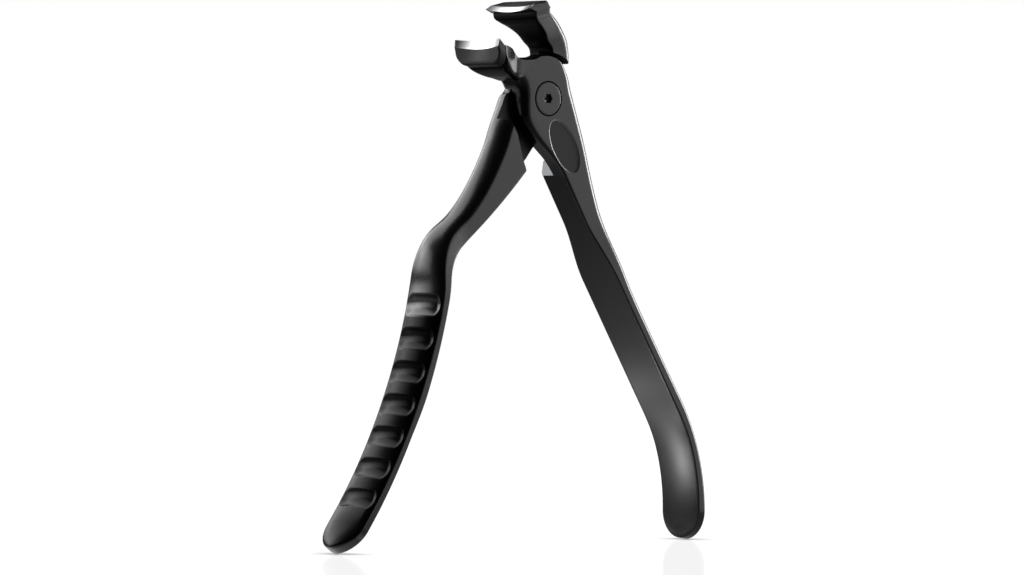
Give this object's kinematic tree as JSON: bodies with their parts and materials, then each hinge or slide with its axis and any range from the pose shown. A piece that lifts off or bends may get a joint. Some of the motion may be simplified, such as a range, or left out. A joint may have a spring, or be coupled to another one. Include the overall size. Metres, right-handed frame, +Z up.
{
  "type": "nail clipper",
  "caption": "Plier-type nail clipper with a lap-jointed pivot, hollow-ground end-cutting jaws, a hidden return spring and swept handles, one with finger pockets.",
  "frame": {"origin": "on the ground between the two handle tips, at the middle of the open clipper's width and thickness", "axes": "+Z up toward the jaws, +Y to the rear along the pivot axis, -X toward the side that the jaws bite from"},
  "size_m": [0.1268, 0.0184, 0.1455],
  "materials": {
    "coat": "satin black coating on forged steel",
    "edge": "ground steel bevel on a dark plate",
    "fastener": "satin black steel",
    "washer": "plain",
    "spring": "drawn spring wire"
  },
  "bodies": {
    "front": {"front_lever": "coat", "lower_blade": "edge", "pivot_screw": "fastener", "pivot_nut": "fastener", "lap_washer": "washer", "return_spring": "spring"},
    "rear": {"rear_lever": "coat", "upper_blade": "edge"}
  },
  "joints": [
    {"name": "jaw_pivot", "type": "hinge", "parent": "front", "child": "rear", "pos_m": [0.0076, 0, 0.11944], "axis": [0, -1, 0], "range_deg": [0, 29.7], "stiffness_Nm_per_rad": 0.25, "springref_deg": -20.05, "deforming": ["return_spring"]}
  ]
}
